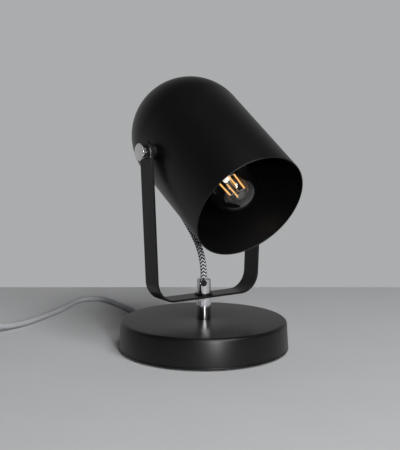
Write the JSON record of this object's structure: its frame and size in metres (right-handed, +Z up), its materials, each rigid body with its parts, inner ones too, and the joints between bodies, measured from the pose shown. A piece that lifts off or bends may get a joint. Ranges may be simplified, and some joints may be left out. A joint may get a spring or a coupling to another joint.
{
  "type": "table lamp",
  "caption": "Small black searchlight table lamp with a steel strap, thumb-screw tilt, clear globe bulb, chrome stem and black and white textile cord.",
  "frame": {"origin": "centre of the underside of the base, on the table", "axes": "+Z up; +X along the tilt axis to the right-hand knob; the mouth of the shade faces -Y and down"},
  "size_m": [0.3529, 0.3594, 0.2553],
  "materials": {
    "satin_black_steel": "satin powder coat, near black",
    "iron": "painted grey casting",
    "foam": "matt closed-cell foam",
    "black_moulding": "fine moulded texture",
    "flex": "black and white zigzag braid",
    "zinc_steel": "bright zinc",
    "chrome": "polished",
    "ceramic": "glazed white ceramic",
    "brass": "plain",
    "nickel": "nickel plated",
    "clear_glass": "clear",
    "amber_filament": "amber phosphor coating",
    "wire": "plain wire",
    "tie_fabric": "woven hook-and-loop"
  },
  "bodies": {
    "base": {"base_cover": "satin_black_steel", "base_weight": "iron", "foot_pad": "foam", "cord_bush": "black_moulding", "flex_in_base": "flex", "threaded_tube": "zinc_steel", "base_nut": "zinc_steel", "lock_washer": "zinc_steel", "spacer_tube": "chrome", "strap_washer": "satin_black_steel", "cord_grip": "chrome", "grip_screw": "black_moulding", "mains_cord": "flex", "link_cord": "flex", "tail_cord": "flex", "cord_coil": "flex", "coil_tie": "tie_fabric", "switch_lower": "black_moulding", "switch_upper": "black_moulding", "switch_screws": "zinc_steel", "switch_contacts": "brass", "plug_body": "black_moulding", "plug_pins": "nickel"},
    "yoke": {"yoke_strap": "satin_black_steel", "head_cord": "flex"},
    "head": {"shade": "satin_black_steel", "pivot_spacers": "black_moulding", "holder_bracket": "zinc_steel", "pivot_nuts": "zinc_steel", "shade_bush": "black_moulding", "flex_in_head": "flex", "holder_tube": "zinc_steel", "holder_nut": "zinc_steel", "holder_cap": "black_moulding", "holder_body": "black_moulding", "holder_core": "ceramic", "holder_shell": "brass", "holder_contact": "brass", "bulb_glass": "clear_glass", "bulb_screw_cap": "nickel", "bulb_insulator": "ceramic", "bulb_contact": "brass", "bulb_mount": "clear_glass", "filaments": "amber_filament", "filament_wires": "wire"},
    "knob_left": {"tilt_knob_left": "chrome"},
    "knob_right": {"tilt_knob_right": "chrome"},
    "rocker": {"switch_rocker": "black_moulding"}
  },
  "joints": [
    {"name": "strap_swivel", "type": "hinge", "parent": "base", "child": "yoke", "pos_m": [0, 0, 0.05], "axis": [0, 0, 1], "range_deg": [-165, 165]},
    {"name": "head_tilt", "type": "hinge", "parent": "yoke", "child": "head", "pos_m": [0, 0, 0.1848], "axis": [1, 0, 0], "range_deg": [-30, 20], "deforming": ["head_cord"]},
    {"name": "knob_left_turn", "type": "hinge", "parent": "head", "child": "knob_left", "pos_m": [-0.06, 0, 0.1848], "axis": [1, 0, 0], "range_deg": [-180, 0]},
    {"name": "knob_right_turn", "type": "hinge", "parent": "head", "child": "knob_right", "pos_m": [0.06, 0, 0.1848], "axis": [1, 0, 0], "range_deg": [0, 180]},
    {"name": "switch_rocker_press", "type": "hinge", "parent": "base", "child": "rocker", "pos_m": [-0.188, 0.152, 0.0125], "axis": [0.2588, -0.9659, 0], "range_deg": [-18, 0]}
  ]
}
